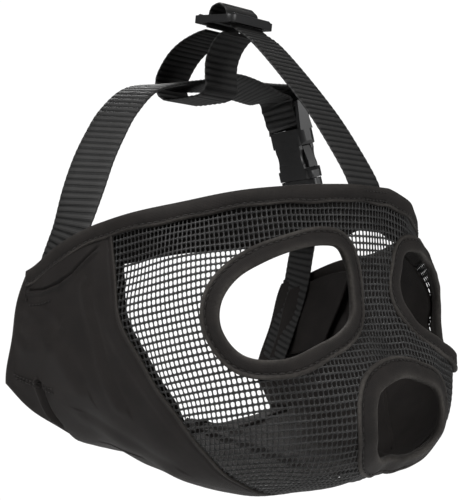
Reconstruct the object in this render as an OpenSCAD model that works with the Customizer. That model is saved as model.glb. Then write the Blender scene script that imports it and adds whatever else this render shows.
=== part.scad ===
// Short-snout mesh muzzle mask: a mesh face with fabric cheeks and chin sling,
// webbing straps, a tri-glide slider and a side-release buckle.
// +X is the way the wearer's nose points, +Y its left, +Z up. Millimetres.

/* [Mask] */
// Half of the width across the cheeks
cheek_half_w = 78; // [74:0.5:84]
// Brow reach in front of the widest section
brow_reach = 104; // [98:1:110]
// Snout reach in front of the widest section
snout_reach = 126; // [120:1:132]
// Height of the brow edge over the eye line
brow_z = 43; // [40:0.5:46]
// How much lower the left top edge hangs at the cheek
left_sag = 10; // [6:0.5:11]
// Depth of the chin floor under the eye line
chin_z = -71; // [-74:0.5:-68]
// Height of the sling's rear rim, which is negative
rim_z = -56; // [-58:0.5:-53]

/* [Fabric] */
// Thickness of the cheek and chin fabric
fabric_t = 1.2; // [1:0.1:1.6]
// Thickness of the face mesh
mesh_t = 1.0; // [0.8:0.1:1.2]
// Width of the binding tape round each eye
eye_tape_w = 7; // [6:0.5:8]
// Width of the binding tape round the nose opening
nose_tape_w = 9; // [7:0.5:10]
// Full thickness of a folded binding
binding_t = 3; // [2.6:0.1:3.4]
// Depth of the binding over the brow edge
top_tape_h = 6.5; // [5:0.5:8]

/* [Webbing] */
// Width of every strap
web_w = 20; // [18:0.5:20.5]
// Thickness of every strap
web_t = 1.4; // [1.2:0.1:1.6]

/* [Buckle] */
// Width across the buckle
buckle_w = 26; // [25:0.5:28]
// Thickness of the buckle
buckle_t = 8.4; // [8:0.2:9]
// Turn of the buckle about the vertical
buckle_yaw = 14; // [10:1:18]
// Lean of the buckle, out at the bottom
buckle_lean = 15; // [9:1:17]

/* [Tri-glide] */
// Length of the tri-glide across the strap
glide_l = 27; // [26:0.5:29]
// Width of the tri-glide along the strap
glide_w = 23; // [22:0.5:24]
// Thickness of the tri-glide
glide_t = 3; // [2.8:0.2:3.6]
// Tilt of the tri-glide, rear edge up
glide_tilt = 7.5; // [4:0.5:10]

/* [Hidden] */

fabric_col = [0.15, 0.14, 0.14];
mesh_col = [0.25, 0.25, 0.26];
tape_col = [0.11, 0.10, 0.10];
web_col = [0.09, 0.09, 0.10];
plastic_col = [0.30, 0.30, 0.32];
thread_col = [0.20, 0.20, 0.20];

// ---- the mask's surface -------------------------------------------------
// A point is placed by two angles: round, 0 at the nose and 90 at the cheek,
// past which it runs straight back; and down, 0 at the brow edge and 90 at
// the middle of the sling's rear rim.
waist_x = 8;            // where the mask is widest
brow_power = 2.3;       // plan roundness at the brow, 2 is an ellipse
eye_power = 4.0;        // plan roundness at the eyes
snout_power = 2.9;      // plan roundness at the snout
cheek_power = 3.8;      // how squarely the cheek turns under
front_power = 7.6;      // how squarely the snout turns under
seam_round = 70;        // angle at which the cheek seam meets the brow edge
seam_down = 56;         // angle at which the mesh meets the chin sling
seam_power = 2.6;       // roundness of the cheek seam
fold_down = 50;         // where the cheek panel joins the chin sling
sling_end = 89.9;       // where the sling ends, at the rim's middle
rim_corner_down = 31;   // where the rear edge reaches furthest back
rim_corner_back = 25.5; // how far that is behind the widest section
rim_top_back = 8.3;     // the same at the brow edge
rim_fade = 16;          // angle in which the rear edge comes forward again

function mix(a, b, t) = a + (b - a) * t;
function clamp01(t) = min(1, max(0, t));
function ease(t) = let (c = clamp01(t)) c * c * (3 - 2 * c);

// Point of a unit superellipse in the direction phi
function squircle(phi, power) =
    let (c = max(cos(phi), 1e-9), s = max(sin(phi), 1e-9),
         k = pow(pow(c, power) + pow(s, power), 1 / power))
    [c / k, s / k];

function plan_power(drop) = drop < 0.4
    ? mix(brow_power, eye_power, ease(drop / 0.4))
    : mix(eye_power, snout_power, ease((drop - 0.4) / 0.4));

function reach(drop) = mix(brow_reach, snout_reach, ease((drop - 0.3) / 0.53));

// Height of the brow edge over the place x along the head
function edge_z(x) = brow_z - 0.2 * (112 - x) - 9 * (1 - ease((x + 5) / 45));

// The left top edge hangs lower, most of all beside the cheek seam
function sag(around, drop) = left_sag * sin(180 * pow(clamp01((around - 6) / 90), 1.5))
    * (1 - ease(drop / 0.22));

function floor_z(around, spread) =
    let (t = around / 90, full = mix(chin_z, chin_z + 8, t) - 8 * pow(sin(180 * t), 2))
    mix(rim_z, full, ease(spread / 0.85));

function skin(around, down) =
    let (side = around < 0 ? -1 : 1,
         a = min(abs(around), 90),
         back = max(abs(around) - 90, 0),
         section = squircle(down, mix(cheek_power, front_power, pow(cos(a), 2))),
         spread = section[0],
         drop = min(section[1], 1),
         plan = squircle(a, plan_power(drop)),
         top = edge_z(waist_x + brow_reach * squircle(a, brow_power)[0] - back))
    [waist_x + reach(drop) * spread * plan[0] - back,
     side * cheek_half_w * spread * plan[1],
     mix(top, floor_z(a, spread), drop) - sag(around, drop)];

function unit(v) = v / norm(v);
step_a = 0.5;           // angle used to find the surface's slope
function outward(around, down) =
    let (d = min(down, 89.9 - step_a), d0 = max(d - step_a, 0), d1 = d + step_a)
    unit(cross(skin(around, d1) - skin(around, d0),
               skin(around + step_a, d) - skin(around - step_a, d)));
function off_skin(around, down, out) = skin(around, down) + out * outward(around, down);

function seam_around(down) =
    seam_round * pow(max(1 - pow(min(down / seam_down, 1), seam_power), 0), 1 / seam_power);
function seam_below(around) =
    seam_down * pow(max(1 - pow(min(abs(around) / seam_round, 1), seam_power), 0), 1 / seam_power);
function rim_around(down) = 90 + (down < rim_corner_down
    ? mix(rim_top_back, rim_corner_back, pow(down / rim_corner_down, 0.8))
    : rim_corner_back * clamp01(1 - (down - rim_corner_down) / rim_fade));

// ---- solids from grids of points ---------------------------------------
// A hole is [round, down, half width, half height, power, slope] in the same
// angles; its ratio is 1 on its edge and more outside.
function hole_ratio(p, h) =
    let (dx = p[0] - h[0], dy = p[1] - h[1] - h[5] * dx)
    pow(pow(abs(dx) / h[2], h[4]) + pow(abs(dy) / h[3], h[4]), 1 / h[4]);
function near_hole(p, holes) =
    let (r = [for (h = holes) hole_ratio(p, h)]) holes[search(min(r), r)[0]];

// A closed sheet between two offsets from the skin, where place(u, v) gives
// the two angles for u and v from 0 to 1. Cells inside a hole are left out
// and the corners round them are drawn onto the hole's edge.
module sheet(place, nu, nv, inner, outer, holes = []) {
    spots = [for (i = [0:nu]) [for (j = [0:nv]) place(i / nu, j / nv)]];
    mids = [for (i = [0:nu - 1]) [for (j = [0:nv - 1]) place((i + 0.5) / nu, (j + 0.5) / nv)]];
    cut = [for (i = [0:nu - 1]) [for (j = [0:nv - 1]) len(holes) > 0
        && min([for (h = holes) hole_ratio(mids[i][j], h)]) < 1]];
    function on_grid(i, j) = i >= 0 && j >= 0 && i < nu && j < nv;
    function kept(i, j) = on_grid(i, j) && !cut[i][j];
    function around_spot(i, j) = [for (di = [-1, 0]) for (dj = [-1, 0])
        if (on_grid(i + di, j + dj)) cut[i + di][j + dj]];
    function drawn(i, j) =
        let (p = spots[i][j], c = around_spot(i, j), gone = len([for (x = c) if (x) x]))
        gone == 0 || gone == len(c) ? p
            : let (h = near_hole(p, holes), m = [h[0], h[1]]) m + (p - m) / hole_ratio(p, h);
    pts = [for (out = [inner, outer]) for (i = [0:nu]) for (j = [0:nv])
        let (p = drawn(i, j)) off_skin(p[0], p[1], out)];
    function id(layer, q) = layer * (nu + 1) * (nv + 1) + q[0] * (nv + 1) + q[1];
    function rising(i, j) = len(holes) == 0 ? true
        : let (p = mids[i][j], h = near_hole(p, holes)) (p[0] - h[0]) * (p[1] - h[1]) > 0;
    // Each kept cell's corners in order, and the neighbour across each side
    faces = [for (i = [0:nu - 1]) for (j = [0:nv - 1]) if (kept(i, j))
        let (q = [[i, j], [i + 1, j], [i + 1, j + 1], [i, j + 1]], k = rising(i, j) ? 0 : 1,
             beyond = [kept(i, j - 1), kept(i + 1, j), kept(i, j + 1), kept(i - 1, j)])
        each concat(
            [for (half = [0, 1]) let (f = [k, k + 1 + half, k + 2 + half])
                [for (c = f) id(0, q[c % 4])]],
            [for (half = [0, 1]) let (f = [k, k + 2 + half, k + 1 + half])
                [for (c = f) id(1, q[c % 4])]],
            [for (e = [0:3]) if (!beyond[e]) for (half = [0, 1])
                let (a = q[e], b = q[(e + 1) % 4]) half == 0
                    ? [id(0, a), id(1, a), id(1, b)]
                    : [id(0, a), id(1, b), id(0, b)]])];
    polyhedron(pts, faces, convexity = 6);
}

function centre(ring) = [for (p = ring) 1] * ring / len(ring);

// A solid through rings of points, all with the same count, open or closed.
module loft(rings, closed = false) {
    m = len(rings);
    k = len(rings[0]);
    pts = concat([for (r = rings) for (p = r) p],
        closed ? [] : [centre(rings[0]), centre(rings[m - 1])]);
    steps = closed ? m : m - 1;
    function id(i, j) = (i % m) * k + j % k;
    sides = [for (i = [0:steps - 1]) for (j = [0:k - 1]) for (half = [0, 1]) half == 0
        ? [id(i, j), id(i, j + 1), id(i + 1, j + 1)]
        : [id(i, j), id(i + 1, j + 1), id(i + 1, j)]];
    caps = closed ? [] : concat(
        [for (j = [0:k - 1]) [m * k, id(0, j + 1), id(0, j)]],
        [for (j = [0:k - 1]) [m * k + 1, id(m - 1, j), id(m - 1, j + 1)]]);
    polyhedron(pts, concat(sides, caps), convexity = 6);
}

// Smooth curve through hand-placed points, Catmull-Rom
function knot(p, i, closed) = closed ? p[(i + len(p)) % len(p)]
    : p[min(max(i, 0), len(p) - 1)];
function curve_at(p, i, t, closed) =
    let (a = knot(p, i - 1, closed), b = knot(p, i, closed),
         c = knot(p, i + 1, closed), d = knot(p, i + 2, closed))
    0.5 * (2 * b + (c - a) * t + (2 * a - 5 * b + 4 * c - d) * t * t
        + (3 * b - a - 3 * c + d) * t * t * t);
function smooth(p, per, closed = false) = concat(
    [for (i = [0:len(p) - (closed ? 1 : 2)]) for (s = [0:per - 1])
        curve_at(p, i, s / per, closed)],
    closed ? [] : [p[len(p) - 1]]);

// Flat webbing along knots [x, y, z, twist]: twist 0 lays its width along
// lie, and a positive twist lifts the front edge.
module webbing(knots, lie, per = 4, width = web_w, thick = web_t) {
    path = smooth(knots, per);
    last = len(path) - 1;
    function at(i) = [path[i][0], path[i][1], path[i][2]];
    rings = [for (i = [0:last])
        let (along = unit(at(min(i + 1, last)) - at(max(i - 1, 0))),
             flat = unit(lie - (lie * along) * along),
             lift = cross(along, flat),
             across = cos(path[i][3]) * flat + sin(path[i][3]) * lift,
             face = cross(along, across))
        [at(i) + across * width / 2 + face * thick / 2,
         at(i) - across * width / 2 + face * thick / 2,
         at(i) - across * width / 2 - face * thick / 2,
         at(i) + across * width / 2 - face * thick / 2]];
    loft(rings);
}

// ---- the openings' outlines ---------------------------------------------
// Edges of the finished openings as [round, down] angles on the skin.
eye_knots = [[45.5, 19.5], [42, 15.5], [36.5, 13.2], [29, 11.7], [21, 11.2],
             [14.8, 12], [12, 15.5], [11.2, 19.5], [13.2, 23], [19.5, 25.3],
             [28, 26.6], [36.5, 27.6], [43.5, 26.6], [46, 23.2]];
nose_knots = [[0, 32.6], [8, 33.2], [14.3, 34.6], [16, 38], [14, 42],
              [8, 44.2], [0, 44.8], [-8, 44.2], [-14, 42], [-16, 38],
              [-14.3, 34.6], [-8, 33.2]];
eye_steps = 3;
nose_steps = 4;
function eye_outline(side) = [for (p = smooth(eye_knots, eye_steps, true)) [side * p[0], p[1]]];
function nose_outline() = smooth(nose_knots, nose_steps, true);

// Frame on the skin at place i of an outline: [point, away from the hole, out]
function rim_frame(line, i) =
    let (n = len(line), here = line[i], prev = line[(i + n - 1) % n], next = line[(i + 1) % n],
         out = outward(here[0], here[1]),
         along = unit(skin(next[0], next[1]) - skin(prev[0], prev[1])),
         turn = (next[0] - prev[0]) * (here[1] - middle(line)[1])
              - (next[1] - prev[1]) * (here[0] - middle(line)[0]))
    [skin(here[0], here[1]), (turn > 0 ? -1 : 1) * cross(out, along), out];
function middle(line) = let (n = len(line))
    [for (k = [0, 1]) [for (p = line) 1] * [for (p = line) p[k]] / n];

// Folded tape round an opening, thick rolled edges and a flatter middle
module ring_tape(line, width) {
    t = binding_t / 2;
    section = [[0, 0.35 * t], [0.14 * width, t], [0.5 * width, 0.8 * t], [0.88 * width, t],
               [width, 0.3 * t], [width, -0.3 * t], [0.88 * width, -0.9 * t],
               [0.14 * width, -0.9 * t], [0, -0.35 * t]];
    loft([for (i = [0:len(line) - 1]) let (f = rim_frame(line, i))
        [for (s = section) f[0] + s[0] * f[1] + s[1] * f[2]]], closed = true);
}

// ---- fabric pieces ---------------------------------------------------------
panel_end = 0.99;       // share of the seam's angle at which the mesh stops

// Holes in the mesh, whose edges stay hidden inside the binding tapes
mesh_holes = [[-28.8, 19.2, 19.1, 9.2, 2.4, -0.12], [28.8, 19.2, 19.1, 9.2, 2.4, 0.12],
              [0, 38.7, 18.3, 8, 2.6, 0]];
module mesh_front_panel() {
    color(mesh_col) sheet(function(u, v) let (a = mix(-1, 1, u) * seam_round * panel_end)
        [a, v * seam_below(a)], 56, 24, -mesh_t / 2, mesh_t / 2, mesh_holes);
}

module side_panel(side) {
    color(fabric_col) sheet(function(u, v) let (d = v * fold_down,
            a = mix(seam_around(d), rim_around(d), side > 0 ? u : 1 - u))
        [side * a, d], 12, 20, -fabric_t / 2, fabric_t / 2);
}
module right_side_panel() { side_panel(-1); }
module left_side_panel() { side_panel(1); }

module chin_sling() {
    color(fabric_col) sheet(function(u, v) let (a = mix(-90, 90, u),
            start = max(fold_down, seam_below(a)))
        [a, mix(start, sling_end, v)], 40, 8, -fabric_t / 2, fabric_t / 2);
}

hem_w = 9;              // width of the turned-in hem along the rear edge
hem_t = 1;              // thickness of what is turned in
hem_end = 46;           // where the cheek hem gives way to the chin hem
module rear_hem(side) {
    color(fabric_col) sheet(function(u, v) let (d = mix(1, hem_end, v),
            e = rim_around(d), a = mix(e - hem_w, e - 0.4, side > 0 ? u : 1 - u))
        [side * a, d], 2, 22, -fabric_t / 2 - hem_t, -fabric_t / 2);
}
module right_rear_hem() { rear_hem(-1); }
module left_rear_hem() { rear_hem(1); }

// Angles of the place x, y on the chin floor
function under(x, y) =
    let (p = (x - waist_x) / snout_reach, q = abs(y) / cheek_half_w,
         spread = pow(pow(max(p, 0), snout_power) + pow(q, snout_power), 1 / snout_power),
         around = atan2(q, max(p, 0)),
         power = mix(cheek_power, front_power, pow(cos(around), 2)),
         down = atan2(pow(max(1 - pow(spread, power), 0), 1 / power), spread))
    [y < 0 ? -around : around, min(down, 89.9)];
chin_hem_half = 60;     // half the chin hem's length
module chin_hem() {
    color(fabric_col) sheet(function(u, v) under(waist_x + mix(0.3, hem_w, u),
            mix(-chin_hem_half, chin_hem_half, v)), 2, 30, -fabric_t / 2 - hem_t, -fabric_t / 2);
}

// Tape folded over the brow edge from one rear corner to the other
module top_binding() {
    n = 60;
    span = 90 + rim_top_back;
    t = binding_t / 2 + 0.2;
    h = top_tape_h;
    section = [[-h, 0.72 * t], [-h, t], [-0.2 * h, 1.05 * t], [0.12 * h, 0.8 * t],
               [0.2 * h, 0], [0.12 * h, -0.8 * t], [-0.2 * h, -1.05 * t], [-h, -t],
               [-h, -0.72 * t]];
    color(tape_col) loft([for (i = [0:n]) let (a = mix(-span, span, i / n),
            out = outward(a, 1), low = skin(a, 4), high = skin(a, 0),
            up = unit(high - low))
        [for (s = section) high + s[0] * up + s[1] * out]]);
}

facing_down = 10;       // lower edge of the facing behind the brow
module top_facing() {
    color(fabric_col) sheet(function(u, v) [mix(-seam_round, seam_round, u) * 0.97,
            mix(0.3, facing_down - 1.6, v)], 44, 2, -mesh_t / 2 - 0.9, -mesh_t / 2);
}

tape_half = 3.2;        // half the angle that the cheek seam tape spans
module cheek_tape(side) {
    color(tape_col) sheet(function(u, v) let (d = mix(3, fold_down - 2, v),
            a = seam_around(d) + mix(-tape_half, tape_half, side > 0 ? u : 1 - u))
        [side * a, d], 2, 20, -fabric_t / 2 - 0.8, -fabric_t / 2);
}
module right_cheek_tape() { cheek_tape(-1); }
module left_cheek_tape() { cheek_tape(1); }

module chin_seam_tape() {
    color(tape_col) sheet(function(u, v) let (a = mix(-36, 36, u))
        [a, seam_below(a) + mix(-2, 2, v)], 24, 2, -fabric_t / 2 - 0.8, -fabric_t / 2);
}

module right_eye_binding() { color(tape_col) ring_tape(eye_outline(-1), eye_tape_w); }
module left_eye_binding() { color(tape_col) ring_tape(eye_outline(1), eye_tape_w); }
module nose_binding() { color(tape_col) ring_tape(nose_outline(), nose_tape_w); }

// ---- straps ------------------------------------------------------------------
// Routes are [x, y, z, twist]; the width lies along the head unless twisted.
right_lie = [0.985, 0.17, 0];
left_lie = [0.97, -0.24, 0];
top_lie = [1, 0, 0];

// The buckle's place: its mouth, and its own axes
buckle_at = [13, 74, 60];
function buckle_to_row(p) =
    let (y1 = p[1] * cos(buckle_lean) - p[2] * sin(buckle_lean),
         z1 = p[1] * sin(buckle_lean) + p[2] * cos(buckle_lean))
    buckle_at + [p[0] * cos(buckle_yaw) + y1 * sin(buckle_yaw),
                 -p[0] * sin(buckle_yaw) + y1 * cos(buckle_yaw), z1];
module at_buckle() {
    translate(buckle_at) rotate([buckle_lean, 0, -buckle_yaw]) children();
}
function with_twist(p, t) = [p[0], p[1], p[2], t];

// Sewn inside the right cheek, over the neck and down to the buckle's ladder
ladder_z = 31;          // height of the ladder bar over the buckle's mouth
bar_r = 1.5;            // radius of the bars that hold webbing
wrap_r = bar_r + web_t / 2 + 0.1;
module neck_strap_right() {
    color(web_col) webbing(concat(
        [[-4, -73.2, -27, 0], [4, -75, -8, 0], [11.5, -75.4, 8, 0], [17.5, -74.6, 21, 3],
         [20, -71.8, 31, 10], [20, -66.8, 44, 17], [19.5, -61.4, 56, 17],
         [19, -55.2, 66.5, 16], [18.5, -47.6, 77, 14], [17.5, -35, 87.6, 10],
         [15.5, -18, 93.6, 4], [14, 0, 96.4, -8], [14, 18, 98.4, -18],
         [13.5, 36, 97.2, -17], [12.5, 50, 94, -10]],
        [for (a = [60, 30, 0]) with_twist(buckle_to_row(
            [0, -wrap_r * cos(a - 25) - 0.1, ladder_z + 4.5 + wrap_r * sin(a)
                - (60 - a) * 0.05]), 0)]),
        top_lie, per = 4);
}

// The strap's free end, folded back over itself from the ladder bar
module neck_strap_tail() {
    color(web_col) webbing([with_twist(buckle_to_row([0, 1.6, ladder_z + 6.5]), 0),
        with_twist(buckle_to_row([0, 0.2, ladder_z + 9.4]), 0),
        [12.8, 57, 99.4, -6], [13.2, 47, 100.2, -8], [13.6, 38, 101.2, -12]],
        top_lie, per = 3);
}

// Sewn inside the left cheek, up and round the bar of the buckle's male half
male_bar_z = -10;       // height of the male half's webbing bar
module neck_strap_left() {
    turn_r = 1.6 + web_t / 2 + 0.35;
    color(web_col) webbing(concat(
        [[-5, 73, -27, 0], [2, 74.9, -8, 0], [8, 75.2, 8, 0], [11.2, 75.4, 22, 0],
         [12.8, 76.9, 34, 0]],
        [with_twist(buckle_to_row([0, 0.4, male_bar_z - 7]), 0)],
        [for (a = [-20:20:200]) with_twist(buckle_to_row(
            [0, turn_r * cos(a), male_bar_z + turn_r * sin(a)]), 0)],
        [with_twist(buckle_to_row([0, -3.4, male_bar_z - 6]), 0),
         [12.8, 74, 37, 0], [11.8, 73.4, 28, 0]]),
        left_lie, per = 3);
}

// Squares of fabric that back the strap ends inside the cheeks
patch_t = 0.8;
module anchor_patch(side) {
    color(fabric_col) sheet(function(u, v) let (d = mix(4, 27, v),
            e = rim_around(d), a = mix(e - 34, e - 10, side > 0 ? u : 1 - u))
        [side * a, d], 4, 6, -3.6 - patch_t, -3.6);
}
module right_anchor_patch() { anchor_patch(-1); }
module left_anchor_patch() { anchor_patch(1); }

// From inside the brow up and back to the tri-glide, over its middle bar
glide_at = [38.5, 0, 118.6];
fore_lie = [0, 1, 0];
module forehead_strap() {
    x = glide_at[0];
    z = glide_at[2];
    color(web_col) webbing([[109.4, 0, 30, 0], [108.9, 0, 38, 0], [106.8, 0, 46, 0],
        [98.6, 0, 59, 0], [86.8, 0, 75, 0], [70.5, 0, 93.4, 0], [57, 0, 107, 0],
        [48.5, 0, 113.2, 0], [x + 5.4, 0, z - 0.8, 0], [x + 4.4, 0, z + 4, 0],
        [x + 0.4, 0, z + 6.8, 0], [x - 4, 0, z + 5.6, 0], [x - 5.6, 0, z + 1.2, 0],
        [x - 6.6, 0, z - 2.2, 0]], fore_lie, per = 4);
}

// The same webbing from the tri-glide round the neck strap and back under it
module forehead_loop() {
    x = glide_at[0];
    z = glide_at[2];
    color(web_col) webbing([[x - 7.4, 0, z - 3.2, 0], [25, 0, 114.8, 0], [16.5, 0, 112.6, 0],
        [9.4, 0, 109, 0], [4, 0, 104, 0], [0.5, 0, 98.4, 0], [1.4, 0, 91, 0], [6.4, 0, 87, 0],
        [18, 0, 85.8, 0], [27.5, 0, 86.2, 0], [31.6, 0, 89.6, 0], [31, 0, 96, 0],
        [31.4, 0, 102.5, 0], [34.4, 0, 108.2, 0], [38.8, 0, 112, 0], [42, 0, 113, 0]],
        fore_lie, per = 4);
}

// ---- tri-glide ---------------------------------------------------------------
module round_plate(l, w, t, r) {
    translate([-w / 2 + r, -l / 2, -t / 2]) cube([w - 2 * r, l, t]);
    translate([-w / 2, -l / 2 + r, -t / 2]) cube([w, l - 2 * r, t]);
    for (sx = [-1, 1]) for (sy = [-1, 1])
        translate([sx * (w / 2 - r), sy * (l / 2 - r), 0]) cylinder(r = r, h = t, center = true, $fn = 48);
}

module tri_glide() {
    slot_l = web_w + 1.6;
    slot_w = 6.4;
    mid_w = 3.6;
    color(plastic_col) translate(glide_at) rotate([0, glide_tilt, 0]) difference() {
        union() {
            round_plate(glide_l, glide_w, glide_t, 3);
            // Rounded ridge on each outer bar
            for (s = [-1, 1]) translate([s * (glide_w / 2 - 1.9), 0, glide_t / 2 - 0.4])
                rotate([90, 0, 0]) cylinder(r = 1.4, h = glide_l - 5, center = true, $fn = 48);
        }
        for (s = [-1, 1]) translate([s * (mid_w + slot_w) / 2, 0, 0])
            cube([slot_w, slot_l, 4 * glide_t], center = true);
    }
}

// ---- side-release buckle -----------------------------------------------------
// Drawn with its mouth at the origin, up its own +Z, +Y away from the head.
socket_h = 24;          // height of the female's closed body
ladder_top = 37;        // top of the ladder's side arms
cavity_w = 21;
cavity_t = 5;
latch_z = 5;            // the mouth band's upper edge, which the prongs hold
window_top = 16;
arm_w = 2.4;

module flat_block(w, t, z0, z1, r = 2.6) {
    // A block with round front and rear edges
    translate([0, 0, z0]) {
        translate([-w / 2 + r, -t / 2, 0]) cube([w - 2 * r, t, z1 - z0]);
        translate([-w / 2, -t / 2 + r, 0]) cube([w, t - 2 * r, z1 - z0]);
        for (sx = [-1, 1]) for (sy = [-1, 1]) translate([sx * (w / 2 - r), sy * (t / 2 - r), 0])
            cylinder(r = r, h = z1 - z0, $fn = 48);
    }
}

module buckle_female() {
    color(plastic_col) at_buckle() difference() {
        union() {
            flat_block(buckle_w, buckle_t, 0, socket_h);
            // Side arms of the ladder
            for (s = [-1, 1]) translate([s * (buckle_w / 2 - arm_w / 2), 0, 0])
                rotate([90, 0, 90]) translate([0, 0, -arm_w / 2]) linear_extrude(arm_w)
                    polygon([[-buckle_t / 2 + 0.6, socket_h - 1], [buckle_t / 2 - 0.6, socket_h - 1],
                             [1.8, ladder_top], [-1.8, ladder_top]]);
            // Ladder bars
            for (z = [ladder_z - 3.2, ladder_top - 1.6])
                translate([0, 0, z]) rotate([0, 90, 0])
                    cylinder(r = bar_r, h = buckle_w - arm_w, center = true, $fn = 48);
        }
        // Cavity, open at the mouth
        translate([-cavity_w / 2, -cavity_t / 2, -1]) cube([cavity_w, cavity_t, socket_h - 2]);
        // Side windows with concave waists
        for (s = [-1, 1]) {
            translate([s * (buckle_w / 2 - 3.2 + 6), 0, (latch_z + window_top) / 2])
                cube([12, 2 * buckle_t, window_top - latch_z], center = true);
            translate([s * (buckle_w / 2 + 4.2), 0, (latch_z + window_top) / 2]) rotate([90, 0, 0])
                cylinder(r = 8.2, h = 2 * buckle_t, center = true, $fn = 64);
        }
    }
}

hinge_x = 7.6;          // distance of each prong's root from the middle
hinge_z = -0.3;
root_r = 1.5;
root_gap = 0.05;
prong_t = 4.2;
prong_tip = 17;
barb_out = 11.6;        // how far a prong's barb reaches from the middle

module buckle_male() {
    base_low = -12.2;
    color(plastic_col) at_buckle() difference() {
        union() {
            flat_block(buckle_w, buckle_t - 1.2, -5.6, hinge_z);
            // Arms down to the webbing bar
            for (s = [-1, 1]) translate([s * (buckle_w / 2 - arm_w / 2) - arm_w / 2,
                    -(buckle_t - 2.4) / 2, base_low])
                cube([arm_w, buckle_t - 2.4, -5 - base_low]);
            translate([0, 0, male_bar_z]) rotate([0, 90, 0])
                cylinder(r = 1.6, h = buckle_w - arm_w, center = true, $fn = 48);
            // Centre guide
            translate([-1.4, -1.9, -1]) cube([2.8, 3.8, 12]);
            translate([0, 0, 11]) rotate([90, 0, 0]) cylinder(r = 1.4, h = 3.8, center = true, $fn = 48);
        }
        for (s = [-1, 1]) translate([s * hinge_x, 0, hinge_z]) rotate([90, 0, 0])
            cylinder(r = root_r + root_gap, h = prong_t + 0.4, center = true, $fn = 64);
    }
}

module prong(s) {
    color(plastic_col) at_buckle() scale([s, 1, 1]) {
        translate([hinge_x, 0, hinge_z]) rotate([90, 0, 0])
            cylinder(r = root_r, h = prong_t, center = true, $fn = 64);
        rotate([90, 0, 0]) linear_extrude(prong_t, center = true)
            polygon([[hinge_x - root_r, hinge_z], [hinge_x + root_r, hinge_z],
                     [hinge_x + root_r, latch_z + 0.3], [barb_out, latch_z + 0.3],
                     [barb_out, latch_z + 3], [hinge_x + 1.9, prong_tip - 1.5],
                     [hinge_x + 0.4, prong_tip], [hinge_x - 1.2, prong_tip - 0.8],
                     [hinge_x - root_r, latch_z + 5]]);
    }
}
module front_prong() { prong(1); }
module rear_prong() { prong(-1); }

// ---- stitches ------------------------------------------------------------------
stitch_l = 2.6;
stitch_r = 0.35;
// One raised stitch on the skin from one pair of angles to another
module stitch(from, to, lift) {
    a = off_skin(from[0], from[1], lift);
    b = off_skin(to[0], to[1], lift);
    out = outward(from[0], from[1]);
    across = unit(cross(b - a, out));
    loft([for (p = [a, b]) [p + stitch_r * across, p + stitch_r * out,
                            p - stitch_r * across, p - stitch_r * out]]);
}
module stitch_row(from, to, count, lift) {
    for (i = [0:count - 1]) {
        a = mix(from, to, i / count);
        stitch(a, mix(a, mix(from, to, (i + 0.72) / count), 1), lift);
    }
}
anchor_rows = [5, 24, 27.5];
module anchor_stitches(side) {
    lift = fabric_t / 2 + 0.15;
    color(thread_col) {
        for (d = anchor_rows) let (e = rim_around(d))
            stitch_row([side * (e - 31), d], [side * (e - 12), d], 7, lift);
        stitch_row([side * (rim_around(6) - 12), 6], [side * (rim_around(23) - 12), 23], 9, lift);
    }
}
module right_anchor_stitches() { anchor_stitches(-1); }
module left_anchor_stitches() { anchor_stitches(1); }

module brow_anchor_stitches() {
    lift = binding_t / 2 + 0.3;
    color(thread_col) for (d = [0.9, 2.6])
        stitch_row([-5.2, d], [5.2, d], 7, lift);
}

mesh_front_panel();
right_side_panel();
left_side_panel();
chin_sling();
right_rear_hem();
left_rear_hem();
chin_hem();
top_binding();
top_facing();
right_cheek_tape();
left_cheek_tape();
chin_seam_tape();
right_eye_binding();
left_eye_binding();
nose_binding();
neck_strap_right();
neck_strap_tail();
neck_strap_left();
right_anchor_patch();
left_anchor_patch();
forehead_strap();
forehead_loop();
tri_glide();
buckle_female();
buckle_male();
front_prong();
rear_prong();
right_anchor_stitches();
left_anchor_stitches();
brow_anchor_stitches();
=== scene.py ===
import math

import bmesh
import bpy
import numpy as np
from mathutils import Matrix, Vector


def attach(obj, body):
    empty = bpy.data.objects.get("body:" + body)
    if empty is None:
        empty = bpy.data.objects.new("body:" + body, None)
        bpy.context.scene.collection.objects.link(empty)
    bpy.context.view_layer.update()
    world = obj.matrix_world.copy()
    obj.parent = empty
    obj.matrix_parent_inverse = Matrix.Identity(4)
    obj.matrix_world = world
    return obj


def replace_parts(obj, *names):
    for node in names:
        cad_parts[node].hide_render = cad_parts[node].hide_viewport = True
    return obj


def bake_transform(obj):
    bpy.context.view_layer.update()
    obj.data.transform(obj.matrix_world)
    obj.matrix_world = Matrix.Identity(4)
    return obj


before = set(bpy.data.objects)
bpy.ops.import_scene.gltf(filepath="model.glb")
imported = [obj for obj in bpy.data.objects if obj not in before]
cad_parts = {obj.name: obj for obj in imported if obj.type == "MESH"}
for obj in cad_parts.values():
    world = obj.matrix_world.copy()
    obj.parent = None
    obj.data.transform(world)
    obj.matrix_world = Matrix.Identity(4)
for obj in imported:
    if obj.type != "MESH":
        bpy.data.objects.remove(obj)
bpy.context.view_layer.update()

MM = 0.001

# ---------------------------------------------------------------- the mask's skin
# The CAD model's surface, with a tuck and a raised rim at the left that the CAD
# leaves out: "around" is 0 at the nose and 90 at the cheek, "down" is 0 at the
# brow edge and 90 at the middle of the rear rim. Lengths in mm, angles in degrees.
CHEEK, BROW, SNOUT, WAIST = 78.0, 104.0, 126.0, 8.0
BROW_Z, CHIN_Z, RIM_Z = 43.0, -71.0, -56.0
SEAM_ROUND, SEAM_DOWN, SEAM_POWER = 70.0, 56.0, 2.6
FOLD = 50.0             # where the cheek joins the chin sling, degrees down
SLING_END = 89.9
LEFT_SAG, SAG_LEAN = 10.0, 1.15
LEFT_RIM_RISE = 8.0
RIM_CORNER, RIM_BACK, RIM_TOP, RIM_FADE = 31.0, 25.5, 8.3, 16.0


def mix(a, b, t):
    return a + (b - a) * t


def ease(t):
    t = np.clip(t, 0, 1)
    return t * t * (3 - 2 * t)


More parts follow.
